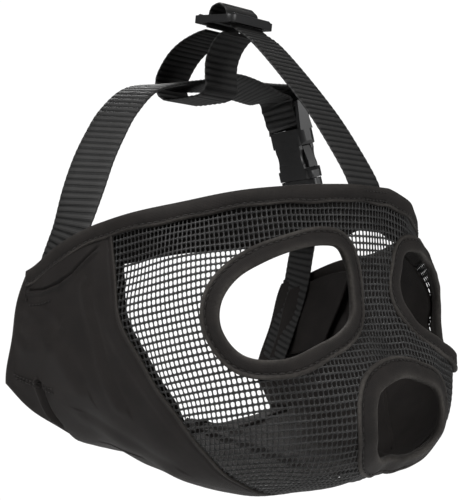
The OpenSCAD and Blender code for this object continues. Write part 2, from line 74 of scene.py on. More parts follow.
def squircle(phi, power):
    phi = np.radians(phi)
    c, s = np.maximum(np.cos(phi), 1e-9), np.maximum(np.sin(phi), 1e-9)
    k = (c ** power + s ** power) ** (1 / power)
    return c / k, s / k


def edge_z(x):
    return BROW_Z - 0.2 * (112 - x) - 9 * (1 - ease((x + 5) / 45))


def skin(around, down):
    around, down = np.broadcast_arrays(np.asarray(around, float), np.asarray(down, float))
    side = np.where(around < 0, -1.0, 1.0)
    a = np.minimum(np.abs(around), 90)
    back = np.maximum(np.abs(around) - 90, 0)
    spread, drop = squircle(down, mix(3.8, 7.6, np.cos(np.radians(a)) ** 2))
    drop = np.minimum(drop, 1)
    power = np.where(drop < 0.4, mix(2.3, 4.0, ease(drop / 0.4)),
                     mix(4.0, 2.9, ease((drop - 0.4) / 0.4)))
    px, py = squircle(a, power)
    reach = mix(BROW, SNOUT, ease((drop - 0.3) / 0.53))
    top = edge_z(WAIST + BROW * squircle(a, 2.3)[0] - back)
    full = mix(CHIN_Z, CHIN_Z + 8, a / 90) - 8 * np.sin(np.radians(2 * a)) ** 2
    low = mix(RIM_Z, full, ease(spread / 0.85))
    tuck = (0.045 * ease((drop - 0.45) / 0.4) * ease((around - 6) / 20)
            * ease((75 - around) / 20))
    spread = spread * (1 - tuck)
    front_rise = (ease((around + 9) / 7) * 2.4
                  + 2.0 * ease((around - 15) / 15) * ease((65 - around) / 20)
                  ) * ease((drop - 0.62) / 0.38) * ease((80 - around) / 20)
    rim_rise = (LEFT_RIM_RISE * ease((drop - 0.75) / 0.25)
                * ease((64 - WAIST - reach * spread * px) / 34)
                * ease(1.3 * side * spread * py))
    sag = -(front_rise + rim_rise) + (
        LEFT_SAG * np.sin(np.pi * np.clip((around - 6) / 90, 0, 1) ** SAG_LEAN)
        * (1 - ease(drop / 0.22)))
    return np.stack([WAIST + reach * spread * px - back, side * CHEEK * spread * py,
                     mix(top, low, drop) - sag], -1)


def unit(v):
    return v / np.maximum(np.linalg.norm(v, axis=-1, keepdims=True), 1e-12)


def outward(around, down):
    d = np.clip(down, 0.4, 89.2)
    return unit(np.cross(skin(around, d + 0.5) - skin(around, np.maximum(d - 0.5, 0)),
                         skin(around + 0.5, d) - skin(around - 0.5, d)))


WAVES = [(0.55, (0.11, 0.05, 0.16), 0.3), (0.4, (-0.07, 0.19, 0.09), 1.9),
         (0.3, (0.24, -0.1, -0.13), 4.1), (0.22, (0.05, 0.31, -0.2), 2.2)]


def ripple(p):
    """Slow unevenness that every sewn piece shares, in mm."""
    return sum(a * np.sin(p @ np.array(k) + f) for a, k, f in WAVES)


def place(around, down, out=0.0, uneven=1.0):
    p = skin(around, down)
    return p + (out + uneven * ripple(p))[..., None] * outward(around, down)


def seam_curve(share, reach):
    """One quarter of the seam: its reach where share is 0, and 0 where it is 1."""
    rest = 1 - np.minimum(share, 1) ** SEAM_POWER
    return reach * np.maximum(rest, 0) ** (1 / SEAM_POWER)


def seam_around(down):
    return seam_curve(down / SEAM_DOWN, SEAM_ROUND)


def cheek_edge(down):
    """The cheek fabric's sewn front edge, which bows forward a little."""
    return seam_around(down) - 0.8 - 1.7 * np.sin(np.pi * np.clip(down / 42, 0, 1))


def seam_below(around):
    return seam_curve(np.abs(around) / SEAM_ROUND, SEAM_DOWN)


def rim_around(down, side=-1):
    down = np.asarray(down, float)
    fade = RIM_FADE if side < 0 else 19.5
    return 90 + np.where(down < RIM_CORNER,
                         mix(RIM_TOP, RIM_BACK, (np.maximum(down, 0) / RIM_CORNER) ** 0.8),
                         RIM_BACK * np.clip(1 - (down - RIM_CORNER) / fade, 0, 1))


# ---------------------------------------------------------------- mesh making
def build(name, points, faces, mat, lay=None, smooth=True, body="mask", painted_highlight=None):
    mesh = bpy.data.meshes.new(name)
    mesh.from_pydata((np.asarray(points) * MM).tolist(), [], [tuple(int(i) for i in f) for f in faces])
    if lay is not None:
        attribute = mesh.attributes.new("lay", "FLOAT_VECTOR", "POINT")
        attribute.data.foreach_set("vector", np.asarray(lay, np.float32).ravel())
    # Per-point strength of the painted highlight along edges, kept as a mesh attribute
    if painted_highlight is not None:
        attribute = mesh.attributes.new("painted_highlight", "FLOAT", "POINT")
        attribute.data.foreach_set("value", np.asarray(painted_highlight, np.float32).ravel())
    mesh.polygons.foreach_set("use_smooth", [smooth] * len(mesh.polygons))
    mesh.update()
    mesh.validate()
    obj = bpy.data.objects.new(name, mesh)
    bpy.context.scene.collection.objects.link(obj)
    obj.data.materials.append(mat)
    if body:
        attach(obj, body)
    return obj


def arc_length(line):
    """The distance from a line's start to each of its points."""
    step = np.linalg.norm(np.diff(line, axis=0), axis=1)
    return np.concatenate([[0], np.cumsum(step)])


def run_length(p, axis):
    step = np.linalg.norm(np.diff(p, axis=axis), axis=-1)
    total = np.cumsum(step, axis=axis)
    zero = np.zeros_like(np.take(total, [0], axis=axis))
    return np.concatenate([zero, total], axis=axis)


def slab(name, around, down, inner, outer, mat, uneven=1.0, extra=None, body="mask", painted_highlight=None):
    """A closed sheet on the skin through a grid of angles."""
    lift = 0.0 if extra is None else extra
    top = place(around, down, outer + lift, uneven)
    low = place(around, down, inner + lift, uneven)
    return sheet_between(name, top, low, mat, body, painted_highlight)


def sheet_between(name, top, low, mat, body="mask", painted_highlight=None):
    nu, nv = top.shape[0] - 1, top.shape[1] - 1
    lay = np.stack([run_length(top, 0), run_length(top, 1), np.zeros(top.shape[:2])], -1)
    n = (nu + 1) * (nv + 1)
    ids = np.arange(n).reshape(nu + 1, nv + 1)
    quads = np.stack([ids[:-1, :-1], ids[1:, :-1], ids[1:, 1:], ids[:-1, 1:]], -1).reshape(-1, 4)
    rim = np.concatenate([ids[:-1, 0], ids[-1, :-1], ids[:0:-1, -1], ids[0, :0:-1]])
    nxt = np.roll(rim, -1)
    walls = np.stack([rim, rim + n, nxt + n, nxt], -1)
    faces = np.concatenate([quads, quads[:, ::-1] + n, walls])
    pts = np.concatenate([top.reshape(-1, 3), low.reshape(-1, 3)])
    if painted_highlight is not None:
        painted_highlight = np.concatenate([painted_highlight.ravel()] * 2)
    obj = build(name, pts, faces, mat, np.concatenate([lay.reshape(-1, 3)] * 2), body=body, painted_highlight=painted_highlight)
    return fix_normals(obj)


def fix_normals(obj):
    bm = bmesh.new()
    bm.from_mesh(obj.data)
    bmesh.ops.recalc_face_normals(bm, faces=bm.faces)
    bm.to_mesh(obj.data)
    bm.free()
    return obj


def loft(name, rings, mat, closed=False, body="mask", lay=None, painted_highlight=None):
    """A skin through rings of points, capped with a fan unless closed."""
    rings = np.asarray(rings)
    m, k = rings.shape[:2]
    ids = np.arange(m * k).reshape(m, k)
    if closed:
        ids = np.concatenate([ids, ids[:1]])
    a, b = ids[:-1], ids[1:]
    an, bn = np.roll(a, -1, 1), np.roll(b, -1, 1)
    faces = np.stack([a, an, bn, b], -1).reshape(-1, 4).tolist()
    pts = rings.reshape(-1, 3)
    if lay is None:
        along = run_length(rings.mean(1)[:, None], 0)
        round_ = run_length(rings, 1)
        lay = np.stack([np.broadcast_to(along, (m, k)), round_, np.zeros((m, k))], -1)
    lay = lay.reshape(-1, 3)
    if not closed:
        faces += [ids[0][::-1].tolist(), ids[-1].tolist()]
    if painted_highlight is not None:
        painted_highlight = np.broadcast_to(painted_highlight, (m, k)).ravel()
    obj = build(name, pts, faces, mat, lay, body=body, painted_highlight=painted_highlight)
    return fix_normals(obj)


def catmull(knots, per, closed=False):
    k = np.asarray(knots, float)
    n = len(k)
    out = []
    for i in range(n if closed else n - 1):
        near = [i + j for j in (-1, 0, 1, 2)]
        pick = [j % n if closed else min(max(j, 0), n - 1) for j in near]
        a, b, c, d = k[pick]
        for t in np.arange(per) / per:
            out.append(0.5 * (2 * b + (c - a) * t + (2 * a - 5 * b + 4 * c - d) * t * t
                              + (3 * b - a - 3 * c + d) * t ** 3))
    if not closed:
        out.append(k[-1])
    return np.array(out)


def resample(path, step, dims=3):
    """Points a fixed distance apart along a dense path; other columns follow."""
    s = arc_length(path[:, :dims])
    n = max(int(round(s[-1] / step)), 2)
    at = np.linspace(0, s[-1], n + 1)
    return np.stack([np.interp(at, s, path[:, c]) for c in range(path.shape[1])], 1), at


# ---------------------------------------------------------------- materials
RIB = 2.9               # pitch of the webbing's ribs, mm


def new_mat(name):
    mat = bpy.data.materials.new(name)
    mat.use_nodes = True
    nt = mat.node_tree
    return mat, nt, nt.nodes["Principled BSDF"]


def node(nt, kind, **sets):
    n = nt.nodes.new(kind)
    for k, v in sets.items():
        if k in n.inputs:
            n.inputs[k].default_value = v
        else:
            setattr(n, k, v)
    return n


def lay_vector(nt, scale=(1, 1, 1)):
    a = node(nt, "ShaderNodeAttribute", attribute_name="lay")
    m = node(nt, "ShaderNodeMapping")
    m.inputs["Scale"].default_value = scale
    nt.links.new(a.outputs["Vector"], m.inputs["Vector"])
    return m.outputs["Vector"]


def colour_by_noise(nt, bsdf, dark, light, vector, scale, contrast=(0.35, 0.65)):
    tex = node(nt, "ShaderNodeTexNoise", Scale=scale, Detail=4.0, Roughness=0.6)
    nt.links.new(vector, tex.inputs["Vector"])
    ramp = node(nt, "ShaderNodeValToRGB")
    ramp.color_ramp.elements[0].position, ramp.color_ramp.elements[1].position = contrast
    ramp.color_ramp.elements[0].color = (*dark, 1)
    ramp.color_ramp.elements[1].color = (*light, 1)
    nt.links.new(tex.outputs["Fac"], ramp.inputs["Fac"])
    # The attribute read here holds painted highlights along the edges of tapes and panels, broken up by noise
    edge_highlight = node(nt, "ShaderNodeAttribute", attribute_name="painted_highlight")
    highlight_noise = node(nt, "ShaderNodeTexNoise", Scale=0.7, Detail=3.0)
    nt.links.new(lay_vector(nt), highlight_noise.inputs["Vector"])
    amount = node(nt, "ShaderNodeMath", operation="MULTIPLY")
    nt.links.new(edge_highlight.outputs["Fac"], amount.inputs[0])
    nt.links.new(highlight_noise.outputs["Fac"], amount.inputs[1])
    blend = node(nt, "ShaderNodeMix", data_type="RGBA")
    nt.links.new(amount.outputs[0], blend.inputs[0])
    nt.links.new(ramp.outputs["Color"], blend.inputs[6])
    # Colour of the painted edge highlight
    blend.inputs[7].default_value = (0.085, 0.078, 0.07, 1)
    nt.links.new(blend.outputs[2], bsdf.inputs["Base Color"])


def weave(nt, bsdf, pitch, strength, height, vector_scale=(1, 1, 1)):
    """Plain weave from two crossed waves on the lay coordinates, in mm."""
    parts = []
    for direction in ("X", "Y"):
        w = node(nt, "ShaderNodeTexWave", wave_type="BANDS", bands_direction=direction)
        w.inputs["Scale"].default_value = 2 * math.pi / (20 * pitch)
        w.inputs["Distortion"].default_value = 0.25
        nt.links.new(lay_vector(nt, vector_scale), w.inputs["Vector"])
        parts.append(w)
    m = node(nt, "ShaderNodeMath", operation="MULTIPLY")
    nt.links.new(parts[0].outputs["Fac"], m.inputs[0])
    nt.links.new(parts[1].outputs["Fac"], m.inputs[1])
    bump = node(nt, "ShaderNodeBump", Strength=strength, Distance=height * MM)
    nt.links.new(m.outputs[0], bump.inputs["Height"])
    nt.links.new(bump.outputs["Normal"], bsdf.inputs["Normal"])


def cloth_mat(name, dark, light, pitch=0.45, rough=0.7, sheen=0.04, spec=0.25, strength=0.5):
    mat, nt, bsdf = new_mat(name)
    colour_by_noise(nt, bsdf, dark, light, lay_vector(nt), 0.09)
    weave(nt, bsdf, pitch, strength, 0.12)
    bsdf.inputs["Roughness"].default_value = rough
    bsdf.inputs["Specular IOR Level"].default_value = spec
    bsdf.inputs["Sheen Weight"].default_value = sheen
    bsdf.inputs["Sheen Roughness"].default_value = 0.45
    bsdf.inputs["Sheen Tint"].default_value = (0.9, 0.86, 0.82, 1)
    return mat


def webbing_mat():
    """Ribs across the strap: painted shade in the valleys, painted highlight on the crowns."""
    mat, nt, bsdf = new_mat("webbing")
    rib = node(nt, "ShaderNodeTexWave", wave_type="BANDS", bands_direction="X")
    rib.inputs["Scale"].default_value = 2 * math.pi / (20 * RIB)
    rib.inputs["Distortion"].default_value = 0.0
    nt.links.new(lay_vector(nt), rib.inputs["Vector"])
    tex = node(nt, "ShaderNodeTexNoise", Scale=0.35, Detail=4.0)
    nt.links.new(lay_vector(nt), tex.inputs["Vector"])
    both = node(nt, "ShaderNodeMath", operation="MULTIPLY_ADD")
    nt.links.new(tex.outputs["Fac"], both.inputs[0])
    both.inputs[1].default_value = 0.5
    nt.links.new(rib.outputs["Fac"], both.inputs[2])
    # Dark to pale over the rib phase: painted shade in the valleys and painted highlight on the crowns,
    # varied by noise
    ramp = node(nt, "ShaderNodeValToRGB")
    ramp.color_ramp.elements[0].position = 0.3
    ramp.color_ramp.elements[1].position = 1.25
    ramp.color_ramp.elements[0].color = (0.0022, 0.0022, 0.0022, 1)
    ramp.color_ramp.elements[1].color = (0.024, 0.0235, 0.023, 1)
    nt.links.new(both.outputs[0], ramp.inputs["Fac"])
    nt.links.new(ramp.outputs["Color"], bsdf.inputs["Base Color"])
    weave(nt, bsdf, 0.65, 0.6, 0.14)
    bsdf.inputs["Roughness"].default_value = 0.6
    bsdf.inputs["Specular IOR Level"].default_value = 0.3
    return mat


def plastic_mat(name, base, rough):
    mat, nt, bsdf = new_mat(name)
    tex = node(nt, "ShaderNodeTexNoise", Scale=420.0, Detail=3.0)
    co = node(nt, "ShaderNodeTexCoord")
    nt.links.new(co.outputs["Object"], tex.inputs["Vector"])
    bump = node(nt, "ShaderNodeBump", Strength=0.12, Distance=0.00008)
    nt.links.new(tex.outputs["Fac"], bump.inputs["Height"])
    nt.links.new(bump.outputs["Normal"], bsdf.inputs["Normal"])
    big = node(nt, "ShaderNodeTexNoise", Scale=60.0, Detail=2.0)
    nt.links.new(co.outputs["Object"], big.inputs["Vector"])
    ramp = node(nt, "ShaderNodeMapRange")
    ramp.inputs["To Min"].default_value = rough - 0.06
    ramp.inputs["To Max"].default_value = rough + 0.08
    nt.links.new(big.outputs["Fac"], ramp.inputs["Value"])
    nt.links.new(ramp.outputs["Result"], bsdf.inputs["Roughness"])
    bsdf.inputs["Base Color"].default_value = (*base, 1)
    bsdf.inputs["Specular IOR Level"].default_value = 0.5
    return mat


CLOTH = cloth_mat("cheek_cloth", (0.0062, 0.0046, 0.0041), (0.0105, 0.0082, 0.0073))
TAPE = cloth_mat("binding_tape", (0.0052, 0.0038, 0.0033), (0.0108, 0.0083, 0.0072), pitch=0.55, strength=0.7)
WEB = webbing_mat()
NET = cloth_mat("face_net", (0.006, 0.0058, 0.0058), (0.014, 0.0138, 0.0138), pitch=0.3, rough=0.45,
                sheen=0.08, spec=0.5, strength=0.3)
THREAD = cloth_mat("thread", (0.010, 0.0085, 0.008), (0.02, 0.018, 0.0165), pitch=0.3, rough=0.5)
PLASTIC = plastic_mat("moulded_plastic", (0.012, 0.012, 0.0125), 0.38)

# ---------------------------------------------------------------- face net
PITCH_U, PITCH_V = 1.95, 2.6        # the net's cells, mm
THICK_ROW, THICK_COL = 0.46, 0.34   # half the depth of its threads
# Centre around and down, half widths, power and slant of each opening
EYE_HOLE = (28.8, 19.2, 19.1, 9.2, 2.4, 0.12)
NOSE_HOLE = (0.0, 38.7, 18.3, 8.0, 2.6, 0.0)


def in_hole(a, d, h, mirrored=False):
    a = -a if mirrored else a
    dx = a - h[0]
    dy = d - h[1] - h[5] * dx
    return (np.abs(dx) / h[2]) ** h[4] + (np.abs(dy) / h[3]) ** h[4] < 1


def meridian(a, steps=400):
    """Angles down and the distance from the brow edge along one meridian."""
    d = np.linspace(0, 62, steps)
    p = skin(np.full(steps, a), d)
    return d, arc_length(p)


def make_net():
    level = np.linspace(-70.5, 70.5, 1200)
    p = skin(level, np.full(1200, 24.0))
    s = arc_length(p)
    cols = int(round(s[-1] / PITCH_U))
    half = np.interp(np.linspace(0, s[-1], 2 * cols + 1), s, level)
    rows = 52
    A = np.repeat(half[:, None], 2 * rows + 1, 1)
    D = np.empty_like(A)
    for i, a in enumerate(half):
        d, run = meridian(a)
        D[i] = np.interp(0.8 + np.arange(2 * rows + 1) * PITCH_V / 2, run, d)
    mid_a, mid_d = A[1::2, 1::2], D[1::2, 1::2]
    keep = (np.abs(mid_a) < seam_around(mid_d) + 1.2) & (mid_d < seam_below(mid_a) + 1.5)
    for h, m in ((EYE_HOLE, False), (EYE_HOLE, True), (NOSE_HOLE, False)):
        keep &= ~in_hole(mid_a, mid_d, h, m)
    P = place(A, D)
    N = outward(A, D)
    index, pts, lays, faces = {}, [], [], []

    def vertex(i, j, layer):
        key = (i, j, layer)
        if key not in index:
            index[key] = len(pts)
            height = THICK_ROW if j % 2 == 0 else THICK_COL
            pts.append(P[i, j] + N[i, j] * height * (1 if layer else -1))
            lays.append((i * PITCH_U / 2, j * PITCH_V / 2, 0))
        return index[key]

    ring = [(0, 0), (1, 0), (2, 0), (2, 1), (2, 2), (1, 2), (0, 2), (0, 1)]
    # Hole outline in cell shares: rounded, taller than wide
    hole = [(-0.31, -0.29), (0, -0.355), (0.31, -0.29), (0.37, 0),
            (0.31, 0.29), (0, 0.355), (-0.31, 0.29), (-0.37, 0)]
    for ci, cj in zip(*np.nonzero(keep)):
        i, j = 2 * ci, 2 * cj
        c = P[i + 1, j + 1]
        u = (P[i + 2, j + 1] - P[i, j + 1])
        v = (P[i + 1, j + 2] - P[i + 1, j])
        inner = []
        for hx, hy in hole:
            inner.append(len(pts))
            pts.append(c + u * hx + v * hy)
            lays.append(((i + 1) * PITCH_U / 2 + hx * PITCH_U, (j + 1) * PITCH_V / 2 + hy * PITCH_V, 0))
        for layer in (0, 1):
            outer = [vertex(i + a, j + b, layer) for a, b in ring]
            for k in range(8):
                q = (outer[k], outer[(k + 1) % 8], inner[(k + 1) % 8], inner[k])
                faces.append(q if layer else q[::-1])
    return build("face_net_mesh", pts, faces, NET, lays)


net = make_net()
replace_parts(net, "mesh_front_panel")

# ---------------------------------------------------------------- cloth panels


def grid(us, vs):
    return np.meshgrid(us, vs, indexing="ij")


def flat_mm(a, d):
    """Angles on a cheek laid out in mm, forward and down."""
    a = np.abs(a)
    return np.stack([np.where(a < 90, (90 - a) * 2.1, 90 - a), d * 2.05], -1)


def beside(a, d, line):
    """Distance in mm to a crease and the side of it that a point is on."""
    p = flat_mm(a, d)
    knots = flat_mm(*np.array(line, float).T)
    best, sign = np.full(p.shape[:-1], 1e9), np.ones(p.shape[:-1])
    for q0, q1 in zip(knots[:-1], knots[1:]):
        v = q1 - q0
        t = np.clip(((p - q0) @ v) / (v @ v), 0, 1)
        off = p - q0 - t[..., None] * v
        dist = np.linalg.norm(off, axis=-1)
        turn = v[0] * off[..., 1] - v[1] * off[..., 0]
        closer = dist < best
        best, sign = np.where(closer, dist, best), np.where(closer, np.sign(turn), sign)
    return best, sign


# Creases of the cheek: the line, its depth, its width and the ridge beside it
CREASES = [
    ([(97, 6.2), (89, 8.4), (84, 9.3), (79, 9.0), (76, 7.4), (73, 5.4), (68, 4.4)], 1.0, 0.8, 0.9),
    ([(95, 32), (93.6, 36), (92.6, 39), (91.4, 43), (91, 49)], 1.6, 0.9, 1.3),
    ([(99, 9), (93, 11), (87, 15), (84, 19)], 0.35, 2.0, 0.4),
    ([(74, 14), (72.2, 22), (71.5, 29), (69, 36)], 0.3, 1.8, 0.45),
    ([(86, 21), (81, 26), (78, 33)], 0.35, 3.0, 0.3),
    ([(80, 40), (70, 44), (60, 47)], 0.35, 2.6, 0.3),
    ([(105, 17), (97, 21), (90, 22)], 0.25, 2.5, 0.3),
]


def cheek_relief(a, d):
    a = np.abs(a)
    total = np.zeros(np.broadcast(a, d).shape)
    for line, deep, wide, ridge in CREASES:
        dist, sign = beside(a, d, line)
        total -= deep * np.exp(-(dist / wide) ** 2)
        total += ridge * np.exp(-((dist * sign - 2.2 * wide) / (1.3 * wide)) ** 2)
    inside = ease((a - seam_around(d) - 1.5) / 2) * ease((rim_around(d) - a) / 6)
    front = (a - cheek_edge(d)) * 2.1
    slow = 0.5 * np.sin(a * 0.16 + d * 0.11) * np.sin(d * 0.13 + 0.6) * inside
    edge = 0.45 * np.exp(-((front - 0.2) / 0.9) ** 2) - 0.3 * np.exp(-((front - 2.6) / 0.6) ** 2)
    return total * inside + slow + edge


def side_panel(side, name, node_name):
    U, V = grid(np.linspace(0, 1, 170), np.linspace(0, 1, 190))
    D = V * (FOLD + 0.5)
    A = mix(cheek_edge(D), rim_around(D, side), U)
    rim = np.maximum(rim_around(D, side) - A, 0)
    # Painted highlight along the cheek's sewn front edge and along its rear rim
    edge_highlight = 0.55 * np.exp(-((A - cheek_edge(D)) / 0.35) ** 2) + 0.6 * np.exp(-(rim / 0.7) ** 2)
    obj = slab(name, side * A, D, -0.6, 0.7, CLOTH, extra=cheek_relief(A, D), painted_highlight=edge_highlight)
    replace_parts(obj, node_name)
    return obj


side_panel(-1, "cheek_cloth_right", "right_side_panel")
side_panel(1, "cheek_cloth_left", "left_side_panel")


def left_lining():
    """The left cheek's inner layer, run on behind the net as far as the eye tape."""
    U, V = grid(np.linspace(0, 1, 60), np.linspace(0, 1, 110))
    D = mix(1.0, 53.2, V)
    front = 46.5 + 2.8 * np.exp(-((D - 23) / 3) ** 2) - 17 * ease((D - 27) / 6)
    A = mix(front, np.maximum(seam_around(D) + 0.8, front + 0.5), U)
    slack = np.sin(np.pi * U) * np.sin(np.pi * V)
    slab("cheek_lining_left", A, D, -2.6, -1.6, CLOTH,
         extra=-1.5 * slack - 0.5 * slack * np.sin(9 * V + 4 * U))


left_lining()


def sling():
    U, V = grid(np.linspace(-1, 1, 161), np.linspace(0, 1, 50))
    A = 90 * U
    start = np.maximum(FOLD, seam_below(A)) - 0.6
    D = mix(start, SLING_END, V)
    obj = slab("chin_sling_cloth", A, D, -0.6, 0.6, CLOTH)
    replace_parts(obj, "chin_sling")


sling()


def hem(side, name, node_name):
    U, V = grid(np.linspace(0, 1, 14), np.linspace(0, 1, 90))
    D = mix(1, 46, V)
    edge = rim_around(D, side)
    A = mix(edge - 9 - 0.5 * np.sin(V * 40), edge - 0.2, U)
    obj = slab(name, side * A, D, -1.7 - 0.3 * np.sin(np.pi * U), -0.55, CLOTH)
    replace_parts(obj, node_name)


hem(-1, "rear_hem_fold_right", "right_rear_hem")
hem(1, "rear_hem_fold_left", "left_rear_hem")


def under(x, y):
    p, q = np.maximum((x - WAIST) / SNOUT, 0), np.abs(y) / CHEEK
    spread = (p ** 2.9 + q ** 2.9) ** (1 / 2.9)
    around = np.degrees(np.arctan2(q, p))
    power = mix(3.8, 7.6, np.cos(np.radians(around)) ** 2)
    down = np.degrees(np.arctan2(np.maximum(1 - spread ** power, 0) ** (1 / power), spread))
    return np.where(y < 0, -around, around), np.minimum(down, SLING_END)


def chin_hem():
    X, Y = grid(np.linspace(WAIST + 0.3, WAIST + 9, 14), np.linspace(-60, 60, 121))
    A, D = under(X, Y)
    obj = slab("chin_hem_fold", A, D, -1.9, -0.55, CLOTH)
    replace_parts(obj, "chin_hem")


chin_hem()


def facing():
    U, V = grid(np.linspace(-1, 1, 141), np.linspace(0, 1, 12))
    A = U * SEAM_ROUND * 0.985
    D = mix(0.3, 8.4 + 1.3 * ease((np.abs(A) - 5) / 7), V)
    obj = slab("brow_facing_strip", A, D, -2.1, -1.0, CLOTH)
    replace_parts(obj, "top_facing")


facing()


def seam_tape(side, name, node_name):
    U, V = grid(np.linspace(-1, 1, 9), np.linspace(0, 1, 80))
    D = mix(3, 48, V)
    A = cheek_edge(D) + mix(-1.1 + 2.1 * ease((D - 33) / 8), 3.6, (U + 1) / 2)
    obj = slab(name, side * A, D, -1.7, -0.7, TAPE)
    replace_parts(obj, node_name)


seam_tape(-1, "cheek_seam_tape_right", "right_cheek_tape")
seam_tape(1, "cheek_seam_tape_left", "left_cheek_tape")


def chin_tape():
    U, V = grid(np.linspace(-1, 1, 90), np.linspace(-1, 1, 7))
    A = 36 * U
    obj = slab("chin_seam_tape_strip", A, seam_below(A) + 2 * V, -1.7, -0.7, TAPE)
    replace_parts(obj, "chin_seam_tape")


chin_tape()

# ---------------------------------------------------------------- stitches


def stitch_mesh(name, rows, mat, radius=0.28, body="mask", sides=6):
    """rows: one (start, end, outward direction) for each stitch."""
    pts, faces = [], []
    # Share of the length, radius and lift of each ring of a stitch
    stations = [(0.0, 0.35, -0.1), (0.12, 0.8, 0.1), (0.5, 1.0, 0.28), (0.88, 0.8, 0.1),
                (1.0, 0.35, -0.1)]
    for a, b, out in rows:
        axis = unit(b - a)
        across = unit(np.cross(axis, out))
        base = len(pts)
        for t, r, lift in stations:
            c = mix(a, b, t) + out * radius * lift * 2
            for k in range(sides):
                f = 2 * math.pi * k / sides
                pts.append(c + radius * r * (math.cos(f) * across * 1.15 + math.sin(f) * out))
        for s in range(len(stations) - 1):
            for k in range(sides):
                k2 = (k + 1) % sides
                faces.append((base + s * sides + k, base + s * sides + k2,
                              base + (s + 1) * sides + k2, base + (s + 1) * sides + k))
        faces.append(tuple(base + k for k in range(sides))[::-1])
        faces.append(tuple(base + (len(stations) - 1) * sides + k for k in range(sides)))
    return build(name, pts, faces, mat, np.asarray(pts), body=body)


def stitches_along(path, outs, pitch=2.8, fill=0.74):
    """Cuts a dense path into stitches."""
    s = arc_length(path)
    n = max(int(s[-1] / pitch), 1)
    cut = np.arange(n) * s[-1] / n

    def at(q, values):
        return np.stack([np.interp(q, s, values[:, c]) for c in range(3)], -1)
    rows = []
    for q in cut:
        e = q + fill * s[-1] / n
        rows.append((at(q, path), at(e, path), unit(at((q + e) / 2, outs))))
    return rows


# ---------------------------------------------------------------- bindings
EYE_KNOTS = [(45.5, 19.5), (42, 15.5), (36.5, 13.2), (29, 11.7), (21, 11.2), (14.8, 12), (12, 15.5),
             (11.2, 19.5), (13.2, 23), (19.5, 25.3), (28, 26.8), (36.5, 28.2), (43.5, 27.3), (46.2, 23.8)]
NOSE_KNOTS = [(0, 32.6), (8, 33.2), (14.3, 34.6), (16, 38), (14, 42), (8, 44.2), (0, 44.8), (-8, 44.2),
              (-14, 42), (-16, 38), (-14.3, 34.6), (-8, 33.2)]


def ring_frames(knots, step=0.8):
    line = catmull(knots, 40, True)
    closed = np.concatenate([line, line[:1]])
    p = place(closed[:, 0], closed[:, 1])
    s = arc_length(p)
    n = int(s[-1] / step)
    at = np.arange(n) * s[-1] / n
    a, d = np.interp(at, s, closed[:, 0]), np.interp(at, s, closed[:, 1])
    p = place(a, d)
    out = outward(a, d)
    along = unit(np.roll(p, -1, 0) - np.roll(p, 1, 0))
    away = np.cross(out, along)
    middle = p.mean(0)
    away *= np.sign(((p - middle) * away).sum(-1, keepdims=True))
    return p, away, out, at


def binding(name, knots, width, node_name, seed, groove=1.9):
    p, away, out, at = ring_frames(knots)
    total = at[-1]
    rng = np.random.default_rng(seed)
    ph = rng.uniform(0, 6.28, 6)
    w = width + 0.25 * np.sin(at / total * 6.28 * 3 + ph[0]) + 0.18 * np.sin(at / total * 6.28 * 7 + ph[1])
    puff = 1 + 0.07 * np.sin(at / total * 6.28 * 9 + ph[2]) + 0.05 * np.sin(at / total * 6.28 * 17 + ph[3])
    g = groove / width
    t = 1.5
    section = [(0.0, 0.0), (0.005, 0.55 * t), (0.05, 0.95 * t), (0.14, 1.12 * t), (0.28, 1.02 * t),
               (0.45, 0.95 * t), (1 - g - 0.12, 0.9 * t), (1 - g - 0.03, 0.66 * t), (1 - g, 0.52 * t),
               (1 - g + 0.03, 0.66 * t), (1 - g * 0.55, 0.88 * t), (1 - g * 0.22, 0.8 * t), (1, 0.42 * t),
               (1.0, -0.3 * t), (1 - g * 0.4, -0.85 * t), (1 - g, -0.6 * t), (0.6, -0.85 * t),
               (0.2, -0.95 * t), (0.05, -0.7 * t)]
    s = np.array(section)
    ring = (p[:, None] + away[:, None] * (w[:, None] * s[:, 0])[..., None]
            + out[:, None] * (puff[:, None] * s[:, 1])[..., None])
    # Painted highlight on the tape's rolled outer edge and its inner edge, for each point of the section,
    # varied along the ring
    edge_highlight = np.array([0.5, 0.9, 1.0, 0.5, 0.15, 0, 0, 0, 0, 0.1, 0.8, 1.0, 0.8, 0.2, 0, 0, 0, 0, 0.3])
    fade = 0.75 + 0.25 * np.sin(at / total * 6.28 * 5 + ph[4])
    obj = loft(name, ring, TAPE, closed=True, painted_highlight=edge_highlight[None] * fade[:, None])
    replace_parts(obj, node_name)
    line = p + away * (w * (1 - g))[:, None] + out * (0.62 * t)
    rows = stitches_along(np.concatenate([line, line[:1]]), np.concatenate([out, out[:1]]))
    stitch_mesh(name + "_stitches", rows, THREAD)
    return obj


binding("eye_binding_right", [(-a, d) for a, d in EYE_KNOTS], 7.0, "right_eye_binding", 3)
binding("eye_binding_left", EYE_KNOTS, 7.0, "left_eye_binding", 5)
binding("nose_binding_tape", NOSE_KNOTS, 9.2, "nose_binding", 7)


